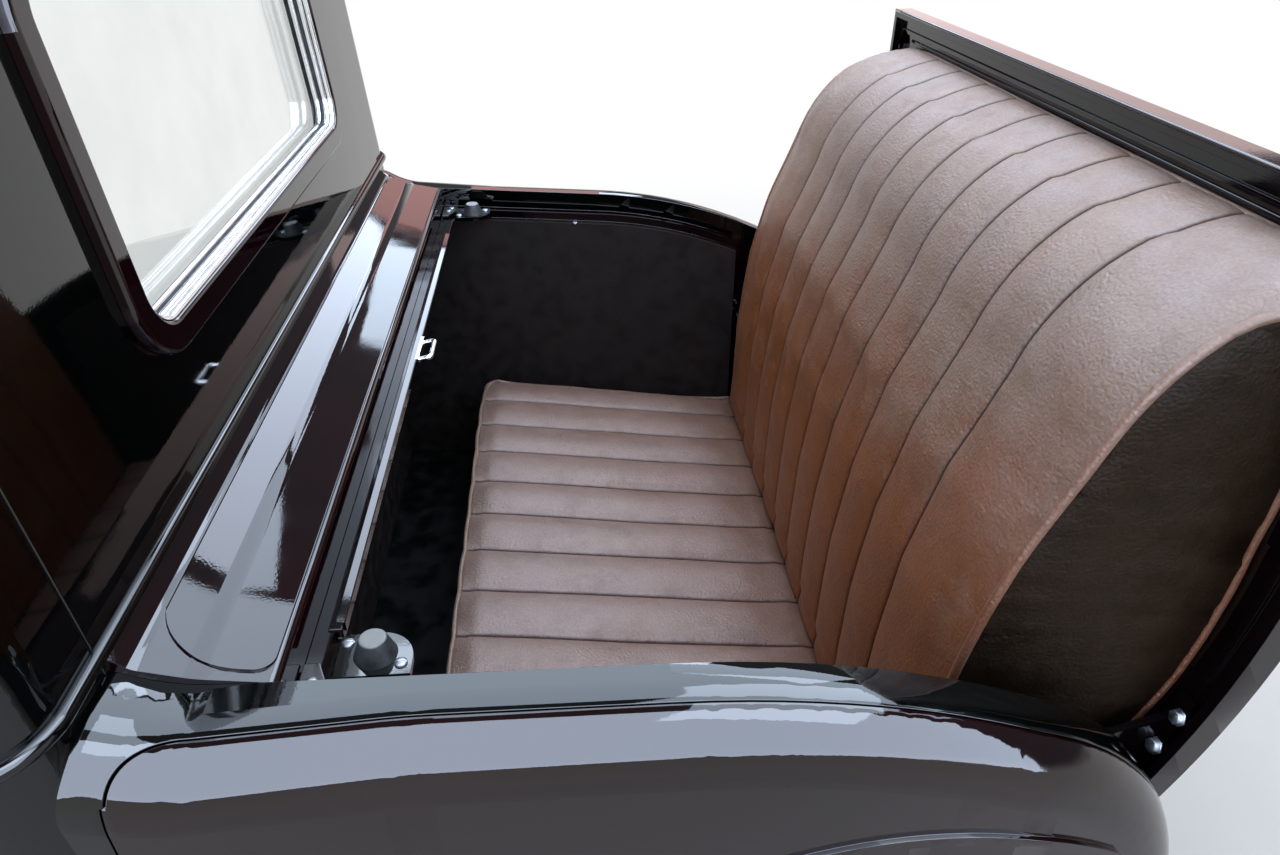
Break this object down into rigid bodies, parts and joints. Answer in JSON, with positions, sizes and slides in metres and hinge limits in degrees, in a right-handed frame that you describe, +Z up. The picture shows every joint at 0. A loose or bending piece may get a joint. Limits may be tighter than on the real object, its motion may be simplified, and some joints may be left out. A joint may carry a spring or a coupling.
{
  "type": "rumble seat body section",
  "caption": "Rear body section of a vintage coupe with an open rumble seat: cab back wall, deck, quarter panels, seat and hinged lid that carries the backrest.",
  "frame": {"origin": "centre of the chassis bolt pattern, on the underside of the cross members", "axes": "+X to the car's rear, +Y to the car's right, +Z up"},
  "size_m": [0.9987, 1.336, 1.1],
  "materials": {
    "body_paint": "gloss",
    "belt_paint": "gloss",
    "cab_paint": "gloss",
    "inner_paint": "semi gloss",
    "frame_paint": "satin",
    "bright_metal": "polished",
    "bare_steel": "worn",
    "rubber": "matte",
    "glass": "clear",
    "seat_leather": "grained",
    "trim_board": "matte",
    "wood": "stained"
  },
  "bodies": {
    "body": {"quarter_panel_left": "body_paint", "quarter_panel_right": "body_paint", "belt_rail_left": "belt_paint", "belt_rail_right": "belt_paint", "side_gutter_left": "inner_paint", "side_gutter_right": "inner_paint", "side_trim_left": "trim_board", "side_trim_right": "trim_board", "cab_back_panel": "cab_paint", "cab_corner_left": "cab_paint", "cab_corner_right": "cab_paint", "belt_moulding": "cab_paint", "deck_panel": "body_paint", "window_frame": "body_paint", "window_seal": "rubber", "window_glass": "glass", "front_gutter": "inner_paint", "corner_gusset_left": "bare_steel", "corner_gusset_right": "bare_steel", "bumper_bracket_left": "inner_paint", "bumper_bracket_right": "inner_paint", "bumper_left": "rubber", "bumper_right": "rubber", "latch_striker": "bright_metal", "sill_left": "frame_paint", "sill_right": "frame_paint", "cross_member_front": "frame_paint", "cross_member_rear": "frame_paint", "floor_pan": "frame_paint", "bulkhead": "trim_board", "tail_panel": "body_paint", "seat_base": "wood", "seat_cushion": "seat_leather", "hinge_bracket_left": "inner_paint", "hinge_bracket_right": "inner_paint"},
    "rumble_lid": {"lid_skin": "body_paint", "lid_inner_panel": "inner_paint", "lid_handle": "bright_metal", "hinge_arm_left": "inner_paint", "hinge_arm_right": "inner_paint", "backrest_cushion": "seat_leather"}
  },
  "joints": [
    {"name": "lid_hinge", "type": "hinge", "parent": "body", "child": "rumble_lid", "pos_m": [0.325, 0, 0.301], "axis": [0, 1, 0], "range_deg": [-88, 0]}
  ]
}
